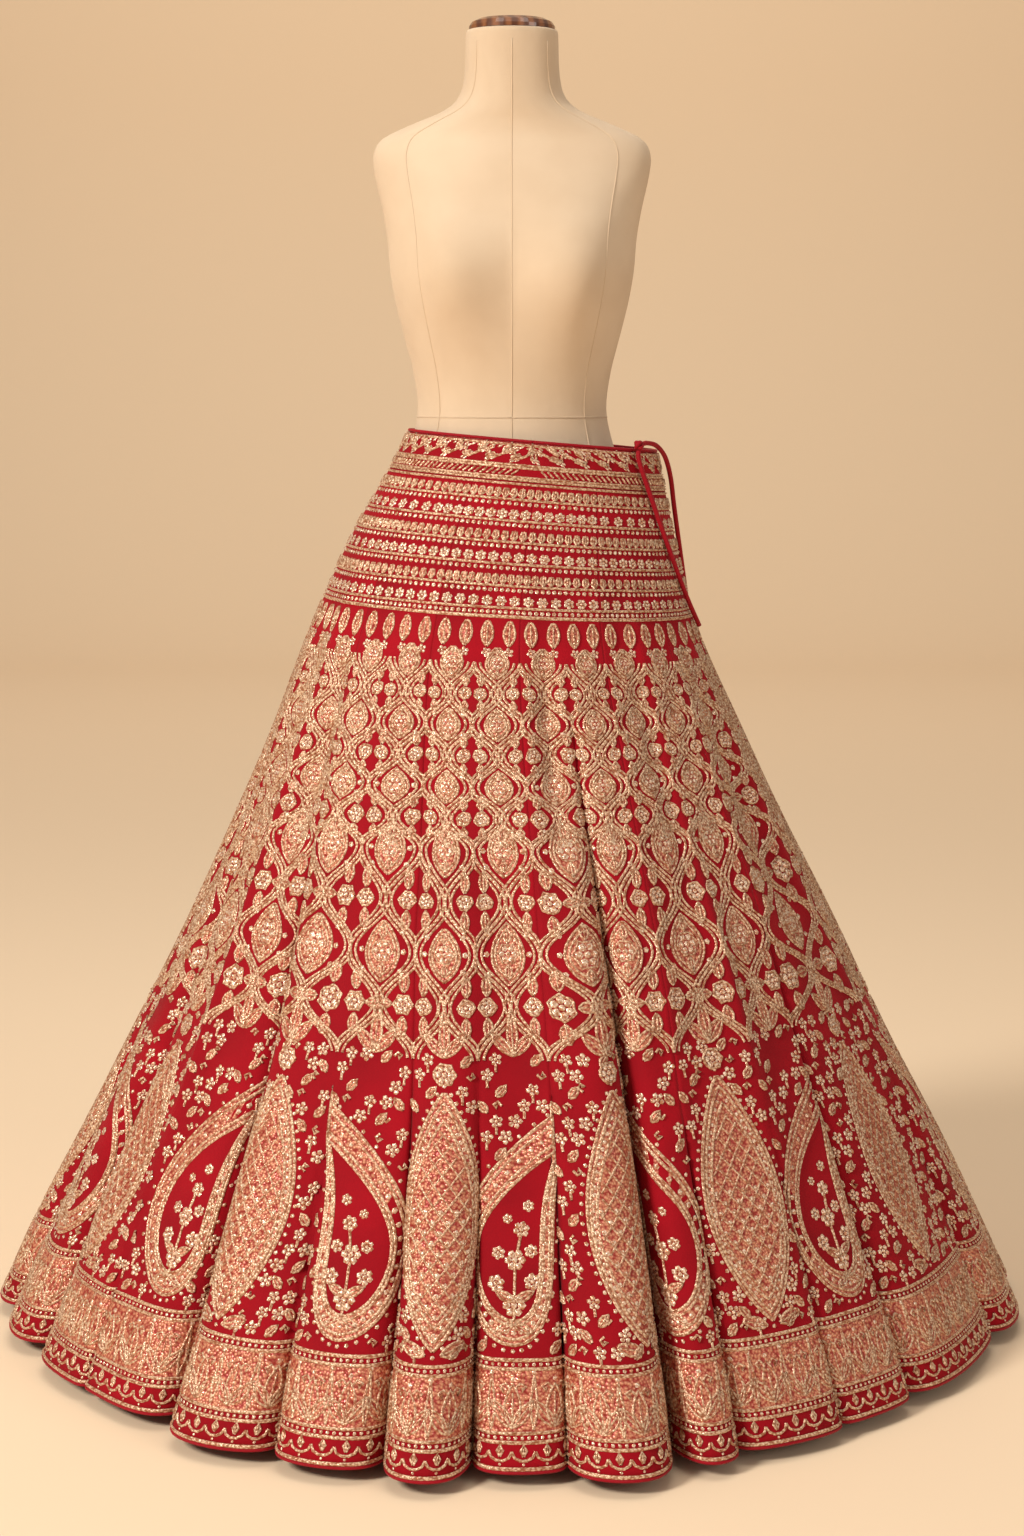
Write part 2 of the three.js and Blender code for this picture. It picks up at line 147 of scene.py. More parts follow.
# A strip of cloth as a table of points and normals, read by the distance across from
# its middle line and the distance up from its lower edge, in metres.
class Strip:
    def __init__(self, points, heights):
        self.points = points
        self.heights = heights
        across = np.gradient(points, axis=1)
        upward = np.gradient(points, axis=0)
        normals = np.cross(across, upward)
        self.normals = normals / np.linalg.norm(normals, axis=2, keepdims=True)
        self.halves = np.linalg.norm(np.diff(points, axis=1), axis=2).sum(1) / 2

    def half(self, b):
        return np.interp(b, self.heights, self.halves)

    def at(self, x, b, lift=0.0):
        x, b = np.broadcast_arrays(np.asarray(x, float), np.asarray(b, float))
        rows, columns = self.points.shape[:2]
        r = np.clip(np.interp(b, self.heights, np.arange(rows)), 0, rows - 1.001)
        c = np.clip((x / self.half(b) + 1) / 2, 0, 1) * (columns - 1.001)
        i, j = r.astype(int), c.astype(int)
        u, v = (r - i)[..., None], (c - j)[..., None]

        def mix(grid):
            return ((1 - u) * ((1 - v) * grid[i, j] + v * grid[i, j + 1])
                    + u * ((1 - v) * grid[i + 1, j] + v * grid[i + 1, j + 1]))
        n = mix(self.normals)
        n = n / np.linalg.norm(n, axis=-1, keepdims=True)
        return mix(self.points) + n * np.asarray(lift)[..., None], n


# One strip for each lobe between two valleys, its columns evenly spaced along the cloth.
def makeStrips():
    rows, columns = 180, 61
    zs = np.linspace(skirt["hemZ"], skirt["seamZ"], rows)
    mean = (outlineAt(1, zs) + outlineAt(2, zs)) / 2
    climb = np.concatenate([[0], np.cumsum(np.hypot(np.diff(zs), np.diff(mean)))]) / 1000
    strips = []
    for lobe in range(lobeCount):
        share = (1 - np.cos(np.linspace(0, np.pi, 91))) / 2
        fine = skirtPoint(lobe + share[None, :], zs[:, None])
        gaps = np.linalg.norm(np.diff(fine, axis=1), axis=2)
        run = np.concatenate([np.zeros((len(zs), 1)), np.cumsum(gaps, axis=1)], axis=1)
        even = np.linspace(0, 1, columns)
        points = np.empty((rows, columns, 3))
        for r in range(rows):
            for k in range(3):
                points[r, :, k] = np.interp(even * run[r, -1], run[r], fine[r, :, k])
        strips.append(Strip(points, climb))
    return strips


# sizes of the embroidery, in metres
work = {"step": 0.0058, "cord": 0.0038, "rise": 0.0019, "fine": 0.0029, "lift": 0.0003,
        "edge": 0.0002, "pad": 0.0007, "band": 0.0006, "sides": 5}


# Embroidery gathered into one mesh: slots are 0 cord, 1 knot, 2 filling.
class Embroidery:
    def __init__(self):
        self.points, self.faces, self.slots, self.uvs = [], [], [], []
        self.count = 0

    def add(self, points, faces, slotIndex, uvs):
        faces = np.asarray(faces)
        self.points.append(points)
        self.faces.append(faces + self.count)
        self.slots.append(np.full(len(faces), slotIndex))
        self.uvs.append(uvs)
        self.count += len(points)

    def cord(self, strip, path, width=None, closed=False):
        path = np.asarray(path, float)
        if closed:
            path = np.vstack([path, path[:1]])
        gaps = np.linalg.norm(np.diff(path, axis=0), axis=1)
        run = np.concatenate([[0], np.cumsum(gaps)])
        if run[-1] < 1e-4:
            return
        count = max(3, int(run[-1] / work["step"]) + 1)
        even = np.linspace(0, run[-1], count)
        x, b = np.interp(even, run, path[:, 0]), np.interp(even, run, path[:, 1])
        width = width or work["cord"]
        p, n = strip.at(x, b, work["lift"])
        t = np.gradient(p, axis=0)
        side = np.cross(t, n)
        side /= np.linalg.norm(side, axis=1, keepdims=True) + 1e-12
        points = np.stack([p - side * width / 2, p + n * work["rise"], p + side * width / 2], 1)
        points = points.reshape(-1, 3)
        i = np.arange(count - 1)[:, None] * 3
        faces = np.concatenate([i + [0, 1, 4, 3], i + [1, 2, 5, 4]])
        uvs = np.stack([np.repeat(even, 3), np.tile([0, 0.5, 1], count)], 1)
        self.add(points, faces, 0, uvs)

    def domes(self, strip, x, b, radius, rise=None):
        x, b = np.atleast_1d(x).astype(float), np.atleast_1d(b).astype(float)
        if not len(x):
            return
        radius = np.broadcast_to(radius, x.shape)
        rise = radius * 0.7 if rise is None else np.broadcast_to(rise, x.shape)
        sides = work["sides"]
        a = np.arange(sides) * 2 * np.pi / sides
        rx = x[:, None] + radius[:, None] * np.cos(a)
        rb = b[:, None] + radius[:, None] * np.sin(a)
        rim = strip.at(rx, rb, work["lift"])[0]
        top = strip.at(x, b, rise + work["lift"])[0]
        points = np.concatenate([rim, top[:, None]], 1).reshape(-1, 3)
        base = np.arange(len(x))[:, None, None] * (sides + 1)
        ring = np.arange(sides)
        faces = (base + np.stack([ring, (ring + 1) % sides, np.full(sides, sides)], 1)).reshape(-1, 3)
        faces = np.concatenate([faces, faces[:, :1]], 1)
        uvs = np.stack([np.repeat(x, sides + 1), np.repeat(b, sides + 1)], 1)
        self.add(points, faces, 1, uvs)

    def filled(self, strip, shape, centre):
        shape, centre = np.asarray(shape, float), np.asarray(centre, float)
        bands = 4 if np.ptp(shape[:, 1]) > 0.06 else 2
        rings = np.linspace(1, 0.02, bands + 1)
        flat = (centre + (shape - centre) * rings[:, None, None]).reshape(-1, 2)
        lifts = np.repeat([work["edge"]] + [work["pad"]] * bands, len(shape))
        points = strip.at(flat[:, 0], flat[:, 1], lifts)[0]
        n = len(shape)
        i = np.arange(n)
        j = (i + 1) % n
        faces = np.concatenate([np.stack([r * n + i, r * n + j, (r + 1) * n + j, (r + 1) * n + i], 1)
                                for r in range(bands)])
        if np.cross(shape[1] - centre, shape[2] - centre) < 0:
            faces = faces[:, ::-1]
        self.add(points, faces, 2, flat)

    def bandFill(self, strip, low, high):
        rows, columns = max(2, int((high - low) / 0.009) + 1), 25
        b, t = np.meshgrid(np.linspace(low, high, rows), np.linspace(-0.998, 0.998, columns), indexing="ij")
        x = t * strip.half(b)
        points = strip.at(x, b, work["band"])[0]
        i = (np.arange(rows - 1)[:, None] * columns + np.arange(columns - 1)).reshape(-1, 1)
        faces = i + [0, 1, columns + 1, columns]
        self.add(points.reshape(-1, 3), faces, 2, np.stack([x, b], -1).reshape(-1, 2))

    def build(self, name, materials):
        faces = np.concatenate(self.faces)
        mesh = bpy.data.meshes.new(name)
        triangle = faces[:, 0] == faces[:, 3]
        lists = [f[:3] if t else f for f, t in zip(faces.tolist(), triangle.tolist())]
        mesh.from_pydata(np.concatenate(self.points).tolist(), [], lists)
        uvs = np.concatenate(self.uvs)
        layer = mesh.uv_layers.new(name="uv")
        loopPoints = np.empty(len(mesh.loops), int)
        mesh.loops.foreach_get("vertex_index", loopPoints)
        layer.data.foreach_set("uv", uvs[loopPoints].ravel())
        mesh.polygons.foreach_set("material_index", np.concatenate(self.slots))
        mesh.polygons.foreach_set("use_smooth", np.ones(len(mesh.polygons), bool))
        for m in materials:
            mesh.materials.append(m)
        obj = bpy.data.objects.new(name, mesh)
        bpy.context.scene.collection.objects.link(obj)
        print(name, "triangles", int((2 - triangle).sum()))
        return obj


# Shapes are closed or open lines in their own plane, placed by turn, size and centre.
def placed(shape, x, b, turn=0.0, size=1.0, flip=False):
    shape = np.asarray(shape, float) * [(-size if flip else size), size]
    c, s = math.cos(math.radians(turn)), math.sin(math.radians(turn))
    return shape @ np.array([[c, s], [-s, c]]) + [x, b]


def leafShape(width, height, count=11):
    s = np.linspace(0, 1, count)
    w = width / 2 * np.sin(np.pi * s) ** 0.8 * (1.15 - 0.3 * s)
    return np.concatenate([np.stack([w, s * height], 1), np.stack([-w[1:-1], s[1:-1] * height], 1)[::-1]])


def paisleyShape(width, height, count=44):
    t = np.linspace(0, 2 * np.pi, count, endpoint=False)
    y = (1 - np.cos(t)) / 2
    x = width / 2 * np.sin(t) * 1.25 * (1 - y) ** 0.42
    bend = width * 0.62 * y ** 3 - width * 0.16 * np.sin(np.pi * y)
    return np.stack([x + bend, y * height], 1)


def curlShape(size, turns=1.25, count=18):
    s = np.linspace(0, 1, count)
    a = s * turns * 2 * np.pi
    r = size * (1 - 0.82 * s)
    return np.stack([size - r * np.cos(a), r * np.sin(a)], 1)


# In the pieces below, e is the embroidery they are added to and s the strip they lie on.
def flower(e, s, x, b, radius, petals=6, ring=True):
    a = np.arange(petals) * 2 * np.pi / petals + x * 40
    e.domes(s, x + radius * 0.62 * np.cos(a), b + radius * 0.62 * np.sin(a), radius * 0.36)
    e.domes(s, x, b, radius * 0.3, radius * 0.34)
    if ring:
        a = np.linspace(0, 2 * np.pi, 6 * petals, endpoint=False)
        r = radius * (1 + 0.13 * np.cos(petals * (a - x * 40)))
        e.cord(s, np.stack([x + r * np.cos(a), b + r * np.sin(a)], 1), work["fine"], closed=True)


def leaf(e, s, x, b, width, height, turn, fill=True):
    shape = placed(leafShape(width, height), x, b, turn)
    if fill:
        e.filled(s, shape, shape.mean(0))
    e.cord(s, shape, work["fine"], closed=True)
    e.cord(s, placed([(0, 0), (0, height * 0.8)], x, b, turn), work["fine"] * 0.8)


def rowLine(e, s, b, width=None):
    half = s.half(b)
    e.cord(s, [(-half, b), (0, b), (half, b)], width)


def rowDots(e, s, b, pitch, radius):
    half = s.half(b)
    count = max(1, round(2 * half / pitch))
    e.domes(s, -half + (np.arange(count) + 0.5) * 2 * half / count, np.full(count, b), radius)


def cells(s, b, pitch):
    half = s.half(b)
    count = max(1, round(2 * half / pitch))
    return -half + (np.arange(count) + 0.5) * 2 * half / count, half / count


# The border at the hem: a scalloped edge, bead rows and a band of lotus buds on gold filling.
def hemBorder(e, s):
    rowLine(e, s, 0.0022)
    xs, h = cells(s, 0.010, 0.023)
    for x in xs:
        t = np.linspace(-1, 1, 9)
        e.cord(s, np.stack([x + t * h, 0.019 - 0.009 * np.sqrt(1 - t * t)], 1), work["fine"])
        leaf(e, s, x, 0.0145, 0.006, 0.011, 0, fill=False)
    e.domes(s, xs, np.full(len(xs), 0.0068), 0.0016)
    rowLine(e, s, 0.028)
    rowDots(e, s, 0.0325, 0.0068, 0.0021)
    rowLine(e, s, 0.037)
    e.bandFill(s, 0.038, 0.098)
    xs, h = cells(s, 0.065, 0.040)
    for x in xs:
        leaf(e, s, x, 0.042, 0.016, 0.043, 0)
        for side in (-1, 1):
            leaf(e, s, x, 0.042, 0.011, 0.034, -side * 38)
            e.cord(s, placed(curlShape(0.0062), x + side * 0.003, 0.081, 0, 1, side < 0), work["fine"])
            stem = [(x + side * h, 0.040), (x + side * h * 0.8, 0.062), (x + side * h, 0.094)]
            e.cord(s, stem, work["fine"])
        e.domes(s, [x, x + h], [0.090, 0.096], 0.0032)
    rowLine(e, s, 0.100)
    rowDots(e, s, 0.1045, 0.0068, 0.0021)
    rowLine(e, s, 0.109)


def inside(shape, x, b):
    other = np.roll(shape, -1, axis=0)
    over = (shape[:, 1] > b) != (other[:, 1] > b)
    with np.errstate(divide="ignore", invalid="ignore"):
        cut = shape[:, 0] + (b - shape[:, 1]) / (other[:, 1] - shape[:, 1]) * (other[:, 0] - shape[:, 0])
    return bool((over & (x < cut)).sum() % 2)


def grown(shape, amount):
    centre = shape.mean(0)
    span = np.linalg.norm(shape - centre, axis=1, keepdims=True)
    return centre + (shape - centre) * (1 + amount / span)


# A large mango bud: a filled rim between two cords, a spray of flowers on the bare ground inside.
def mangoMotif(e, s, b, flip):
    shape = placed(paisleyShape(0.098, 0.25), 0, b, 0, 1, flip)
    centre = np.array([0, b + 0.08])
    inner = centre + (shape - centre) * 0.70
    n = len(shape)
    rim = np.concatenate([shape, inner])
    points = s.at(rim[:, 0], rim[:, 1], np.full(2 * n, work["pad"]))[0]
    i = np.arange(n)
    j = (i + 1) % n
    face = np.stack([i, j, j + n, i + n], 1)
    e.add(points, face[:, ::-1] if flip else face, 2, rim)
    for scale in (1.0, 0.93, 0.76, 0.70):
        e.cord(s, centre + (shape - centre) * scale, closed=True)
    mid = centre + (shape - centre) * 0.845
    e.domes(s, mid[:, 0], mid[:, 1], 0.0034)
    pearls = grown(shape, 0.0062)
    e.domes(s, pearls[:, 0], pearls[:, 1], 0.0024)
    side = -1 if flip else 1
    for dx, db, r in ((0, 0.040, 0.0125), (-0.019, 0.062, 0.0095), (0.018, 0.064, 0.0095), (0, 0.086, 0.0115),
                      (side * 0.006, 0.117, 0.0090), (-0.017, 0.093, 0.0075), (0.016, 0.095, 0.0075),
                      (side * 0.013, 0.141, 0.0065), (-side * 0.008, 0.128, 0.0055)):
        flower(e, s, dx, b + db, r, ring=False)
    e.cord(s, [(0, b + 0.016), (0, b + 0.084), (side * 0.008, b + 0.125)], work["fine"])
    for turn in (-62, 62, -118, 118):
        leaf(e, s, 0, b + 0.022 + 0.022 * (abs(turn) < 90), 0.008, 0.022, turn)
    return grown(shape, 0.010)


# A tall cypress bud holding a trellis with a knot in every mesh.
def cypressMotif(e, s, b, flip):
    shape = placed(leafShape(0.094, 0.262, 30), 0, b)
    centre = np.array([0, b + 0.11])
    e.filled(s, shape, centre)
    for scale in (1.0, 0.92, 0.80):
        e.cord(s, centre + (shape - centre) * scale, closed=True)
    mid = centre + (shape - centre) * 0.86
    e.domes(s, mid[:, 0], mid[:, 1], 0.0028)
    core = centre + (shape - centre) * 0.78
    for lean in (-1, 1):
        for start in np.arange(-0.14, 0.36, 0.021):
            line = [(x, b + start + lean * x * 1.3) for x in np.arange(-0.05, 0.0501, 0.004)]
            kept = [p for p in line if inside(core, *p)]
            if len(kept) > 2:
                e.cord(s, kept, work["fine"] * 0.9)
    for k in range(13):
        for x in (np.arange(-3, 4) * 0.0162 + (k % 2) * 0.0081):
            at = (x, b + 0.0105 * k + 0.012)
            if inside(core, *at):
                e.domes(s, *at, 0.0034)
    pearls = grown(shape, 0.0062)
    e.domes(s, pearls[:, 0], pearls[:, 1], 0.0024)
    for side in (-1, 1):
        leaf(e, s, side * 0.008, b - 0.004, 0.012, 0.030, -side * 72)
    flower(e, s, 0, b + 0.280, 0.011)
    return grown(shape, 0.011)


# Small sprigs over the ground a motif leaves free: a curl, a leaf or a flower on a half-drop grid.
def sprigs(e, s, low, high, shapes, pitch=0.0165):
    for k, b in enumerate(np.arange(low, high, pitch)):
        half = s.half(b)
        count = max(1, int(2 * half / pitch))
        for m in range(count + 1):
            x = -half + (m + 0.5 * (k % 2)) * 2 * half / count
            if abs(x) > half - 0.004 or any(inside(shape, x, b) for shape in shapes):
                continue
            kind = (k * 3 + m * 5) % 4
            if kind == 0:
                flower(e, s, x, b, 0.0082, petals=5, ring=False)
            elif kind == 1:
                leaf(e, s, x, b - 0.007, 0.0080, 0.0155, 40 * (-1) ** m)
            elif kind == 2:
                e.cord(s, placed(curlShape(0.0052), x - 0.004, b, 90 * (k % 3), 1, m % 2 > 0), work["fine"])
            else:
                flower(e, s, x, b, 0.0074, petals=5, ring=False)
                e.cord(s, [(x, b - 0.014), (x, b - 0.006)], work["fine"])


# An ogee trellis: a framed palmette in each mesh on the crest, and flower sprays in those over a valley.
def trellis(e, s, low, high, rise, flowerSize):
    steps = np.arange(low, high + 0.003, 0.006)
    wave = 0.5 + 0.5 * np.cos(2 * np.pi * (steps - low) / rise)
    for side in (-1, 1):
        x = side * s.half(steps) * wave
        e.cord(s, np.stack([x, steps], 1))
        for gap in (-0.0062, 0.0062):
            e.cord(s, np.stack([x + gap, steps], 1), work["fine"])
    for k in range(int(round((high - low) / rise)) + 1):
        at = low + k * rise
        r = min(flowerSize, s.half(at) * 0.30)
        reach = rise * (0.30 if s.half(at) > 0.034 else 0.26)
        if low + 0.01 < at < high + 0.01:
            frame = placed(leafShape(r * 3.3, reach * 2), 0, at - reach)
            e.filled(s, frame, (0, at))
            for scale in (1.0, 0.80):
                e.cord(s, (0, at) + (frame - (0, at)) * scale, work["fine"], closed=True)
            flower(e, s, 0, at, r)
            for turn in (0, 180):
                leaf(e, s, 0, at + (r * 1.1 if turn == 0 else -r * 1.1), r * 0.7, reach * 0.5, turn)
            for side in (-1, 1):
                for along in (-0.62, 0, 0.62):
                    x = side * (r * 1.5 + 0.007 - abs(along) * 0.004)
                    if abs(x) < s.half(at) - 0.010:
                        e.domes(s, [x], [at + along * reach], 0.0034)
        elif at < low + 0.01:
            for turn, tall in ((0, 0.42), (42, 0.30), (-42, 0.30)):
                leaf(e, s, 0, at + 0.004, r * 0.9, rise * tall, turn)
        between = at + rise / 2
        if between < high:
            half = s.half(between)
            small = min(flowerSize, half * 0.26)
            for side in (-1, 1):
                x = side * (half - small * 1.25)
                flower(e, s, x, between, small * 0.95)
                for turn in (0, 180):
                    out = small * 1.25 if turn == 0 else -small * 1.25
                    leaf(e, s, x, between + out, small, rise * 0.20, turn)
                if half > 0.040:
                    leaf(e, s, x - side * small * 1.2, between, small * 0.8, small * 1.5, side * 90)


# Rows that close up towards the waist: buds, bead chains, rosettes and drops.
def waistRows(e, s, low, high):
    tall = 0.030
    for x in cells(s, low, 0.021)[0]:
        leaf(e, s, x, low, 0.0125, tall, 0)
        flower(e, s, x, low - 0.007, 0.0058, petals=5, ring=False)
    rowLine(e, s, low + tall + 0.004)
    for k, b in enumerate(np.arange(low + tall + 0.009, high - 0.004, 0.0125)):
        kind = k % 4
        if kind in (0, 2):
            rowDots(e, s, b, 0.0068, 0.0026)
            rowLine(e, s, b + 0.0050, work["fine"])
        elif kind == 1:
            for x in cells(s, b, 0.0145)[0]:
                flower(e, s, x, b, 0.0066, petals=6, ring=False)
        else:
            for x in cells(s, b, 0.0095)[0]:
                leaf(e, s, x, b - 0.006, 0.0070, 0.0125, 0)


# heights up the cloth, in metres, of what lies on each lobe
layout = {"motif": 0.124, "sprigs": (0.122, 0.425), "crown": 0.375, "rows": 0.872,
          "lowTrellis": (0.418, 0.643, 0.1125, 0.0150), "highTrellis": (0.643, 0.853, 0.070, 0.0105)}


def decorate(e, s, lobe):
    hemBorder(e, s)
    flip = lobe % 4 > 1
    motif = mangoMotif if lobe % 2 else cypressMotif
    shape = motif(e, s, layout["motif"], flip)
    crown = placed(leafShape(0.040, 0.05), 0, layout["crown"])
    sprigs(e, s, *layout["sprigs"], [shape, crown])
    trellis(e, s, *layout["lowTrellis"])
    trellis(e, s, *layout["highTrellis"])
    top = s.heights[-1]
    waistRows(e, s, layout["rows"], top - 0.006)
    rowLine(e, s, top - 0.003, work["fine"])


# Materials.
def newMaterial(name, color, roughness, metallic=0.0, sheen=0.0):
    m = bpy.data.materials.new(name)
    m.use_nodes = True
    b = m.node_tree.nodes["Principled BSDF"]
    b.inputs["Base Color"].default_value = (*color, 1)
    b.inputs["Roughness"].default_value = roughness
    b.inputs["Metallic"].default_value = metallic
    b.inputs["Sheen Weight"].default_value = sheen
    b.inputs["Specular IOR Level"].default_value = 0.18 if sheen else 0.5
    return m


def addNode(tree, kind, inputs=(), **settings):
    n = tree.nodes.new(kind)
    for key, value in settings.items():
        setattr(n, key, value)
    for key, value in dict(inputs).items():
        if isinstance(value, bpy.types.NodeSocket):
            tree.links.new(value, n.inputs[key])
        else:
            n.inputs[key].default_value = value
    return n


def ramp(tree, source, stops):
    n = addNode(tree, "ShaderNodeValToRGB", {"Fac": source})
    while len(n.color_ramp.elements) < len(stops):
        n.color_ramp.elements.new(0.5)
    for element, (place, color) in zip(n.color_ramp.elements, stops):
        element.position = place
        element.color = (*color, 1)
    return n.outputs["Color"]


# A group of nodes with a place and one size as inputs, and the named values as outputs.
def newGroup(name, size, outputs):
    group = bpy.data.node_groups.new(name, "ShaderNodeTree")
    group.interface.new_socket("Place", in_out="INPUT", socket_type="NodeSocketVector")
    group.interface.new_socket(size, in_out="INPUT", socket_type="NodeSocketFloat")
    for output in outputs:
        group.interface.new_socket(output, in_out="OUTPUT", socket_type="NodeSocketFloat")
    return group, group.nodes.new("NodeGroupInput").outputs, group.nodes.new("NodeGroupOutput").inputs


weaveGroup, given, made = newGroup("woven threads", "Threads", ("Weave", "Blotch"))
waves = [addNode(weaveGroup, "ShaderNodeTexWave", {"Vector": given["Place"], "Scale": given["Threads"],
                                                   "Distortion": 0.6}, bands_direction=way).outputs["Fac"]
         for way in ("X", "Y")]
crossed = addNode(weaveGroup, "ShaderNodeMath", {0: waves[0], 1: waves[1]}, operation="ADD")
blotch = addNode(weaveGroup, "ShaderNodeTexNoise", {"Vector": given["Place"], "Scale": 9.0, "Detail": 4.0})
weaveGroup.links.new(crossed.outputs[0], made["Weave"])
weaveGroup.links.new(blotch.outputs["Fac"], made["Blotch"])

knotGroup, given, made = newGroup("gold knots", "Knots", ("Distance", "Height", "Tint"))
cell = addNode(knotGroup, "ShaderNodeTexVoronoi", {"Vector": given["Place"], "Scale": given["Knots"]})
raised = addNode(knotGroup, "ShaderNodeMath", {0: 1.0, 1: cell.outputs["Distance"]}, operation="SUBTRACT")
tint = addNode(knotGroup, "ShaderNodeSeparateColor", {"Color": cell.outputs["Color"]})
knotGroup.links.new(cell.outputs["Distance"], made["Distance"])
knotGroup.links.new(raised.outputs[0], made["Height"])
knotGroup.links.new(tint.outputs[0], made["Tint"])


def effect(tree, group, place, size, amount):
    return addNode(tree, "ShaderNodeGroup", node_tree=group, inputs={"Place": place, size: amount}).outputs


def dented(tree, b, height, strength, distance):
    dent = addNode(tree, "ShaderNodeBump", {"Height": height, "Strength": strength, "Distance": distance})
    tree.links.new(dent.outputs["Normal"], b.inputs["Normal"])


def clothMaterial(name, color, deep, roughness, sheen, threads, bump):
    m = newMaterial(name, color, roughness, 0, sheen)
    tree = m.node_tree
    b = tree.nodes["Principled BSDF"]
    where = addNode(tree, "ShaderNodeTexCoord").outputs["UV"]
    woven = effect(tree, weaveGroup, where, "Threads", threads)
    tree.links.new(ramp(tree, woven["Blotch"], [(0.3, deep), (0.7, color)]), b.inputs["Base Color"])
    dented(tree, b, woven["Weave"], bump, 0.0003)
    return m


def goldMaterial(name, color, deep, roughness, metallic, knots, bump):
    m = newMaterial(name, color, roughness, metallic)
    tree = m.node_tree
    b = tree.nodes["Principled BSDF"]
    where = addNode(tree, "ShaderNodeTexCoord").outputs["Object"]
    knotted = effect(tree, knotGroup, where, "Knots", knots)
    # lighter at the middle of each knot cell and darker towards its edge: painted shade in the crevices
    # between the knots
    tree.links.new(ramp(tree, knotted["Distance"], [(0.1, color), (0.75, deep)]), b.inputs["Base Color"])
    dented(tree, b, knotted["Height"], bump, 0.0012)
    gloss = addNode(tree, "ShaderNodeMapRange", {"Value": knotted["Tint"], "To Min": roughness * 0.45,
                                                 "To Max": roughness * 1.25})
    tree.links.new(gloss.outputs[0], b.inputs["Roughness"])
    return m


silk = clothMaterial("crimson silk", (0.37, 0.0, 0.008), (0.25, 0.0, 0.005), 0.8, 0.02, 900.0, 0.25)
pipingRed = clothMaterial("red piping", (0.38, 0.001, 0.011), (0.29, 0.001, 0.008), 0.5, 0.05, 700.0, 0.3)
canvas = clothMaterial("linen canvas", (0.78, 0.60, 0.42), (0.70, 0.52, 0.35), 0.85, 0.1, 420.0, 0.5)
# the second colour of each gold below is the painted shade of its crevices between the knots
goldCord = goldMaterial("pale gold cord", (0.95, 0.71, 0.47), (0.36, 0.12, 0.05), 0.34, 0.25, 340.0, 0.7)
goldKnot = goldMaterial("gold knots", (1.0, 0.84, 0.65), (0.50, 0.21, 0.10), 0.24, 0.32, 380.0, 0.5)
goldFill = goldMaterial("rose gold filling", (0.78, 0.36, 0.20), (0.34, 0.03, 0.02), 0.38, 0.28, 300.0, 1.0)
wood = newMaterial("varnished wood", (0.16, 0.05, 0.015), 0.28)
woodTree = wood.node_tree
woodShader = woodTree.nodes["Principled BSDF"]
woodShader.inputs["Coat Weight"].default_value = 0.6
woodPlace = addNode(woodTree, "ShaderNodeTexCoord").outputs["Object"]
grain = addNode(woodTree, "ShaderNodeTexWave", {"Vector": woodPlace, "Scale": 26.0, "Distortion": 5.0,
                                                "Detail": 3.0})
woodStops = [(0.2, (0.10, 0.03, 0.01)), (0.9, (0.24, 0.085, 0.028))]
woodTree.links.new(ramp(woodTree, grain.outputs["Fac"], woodStops), woodShader.inputs["Base Color"])
iron = newMaterial("black iron", (0.022, 0.02, 0.019), 0.45, 0.5)
print("materials made")


def gridObject(name, points, uvs, material, thickness=0.0, ring=False):
    rows, columns = points.shape[:2]
    bm = bmesh.new()
    bmesh.ops.create_grid(bm, x_segments=columns - 1, y_segments=rows - 1, size=1.0)
    bm.verts.ensure_lookup_table()
    layer = bm.loops.layers.uv.new("uv")
    flat, flatUv = points.reshape(-1, 3), uvs.reshape(-1, 2)
    for v in bm.verts:
        v.co = flat[v.index]
    for f in bm.faces:
        f.smooth = True
        for loop in f.loops:
            loop[layer].uv = flatUv[loop.vert.index]
    if ring:
        bmesh.ops.remove_doubles(bm, verts=bm.verts, dist=1e-6)
    mesh = bpy.data.meshes.new(name)
    bm.to_mesh(mesh)
    bm.free()
    mesh.materials.append(material)
    obj = bpy.data.objects.new(name, mesh)
    bpy.context.scene.collection.objects.link(obj)
    if thickness:
        wall = obj.modifiers.new("wall", "SOLIDIFY")
        wall.thickness = thickness
        wall.offset = -1.0
    return obj


def tube(name, path, radius, material, sides=10):
    path = np.asarray(path, float)
    t = np.gradient(path, axis=0)
    t /= np.linalg.norm(t, axis=1, keepdims=True)
    side = np.cross(t, [0.3, 0.2, 0.93])
    side /= np.linalg.norm(side, axis=1, keepdims=True)
    up = np.cross(side, t)
    a = np.linspace(0, 2 * np.pi, sides + 1)
    ring = np.cos(a)[None, :, None] * side[:, None] + np.sin(a)[None, :, None] * up[:, None]
    points = path[:, None] + ring * radius
    run = np.concatenate([[0], np.cumsum(np.linalg.norm(np.diff(path, axis=0), axis=1))])
    uvs = np.stack(np.broadcast_arrays(run[:, None], a[None] / 200), -1)
    obj = gridObject(name, points[:, ::-1], uvs, material, ring=True)
    bm = bmesh.new()
    bm.from_mesh(obj.data)
    bmesh.ops.holes_fill(bm, edges=[e for e in bm.edges if e.is_boundary], sides=sides)
    bmesh.ops.recalc_face_normals(bm, faces=bm.faces)
    bm.to_mesh(obj.data)
    bm.free()
    return obj


# Camera.
camera = {"distance": 3.2, "height": 1.08, "pitch": 7.8, "lens": 65.25, "sensor": 36.0}
camData = bpy.data.cameras.new("camera")
camObject = bpy.data.objects.new("camera", camData)
bpy.context.scene.collection.objects.link(camObject)
camData.sensor_fit = "VERTICAL"
camData.sensor_height = camera["sensor"]
camData.sensor_width = camera["sensor"]
camData.lens = camera["lens"]
camObject.location = (0, -camera["distance"], camera["height"])
camObject.rotation_euler = (math.radians(90 - camera["pitch"]), 0, 0)
bpy.context.scene.camera = camObject


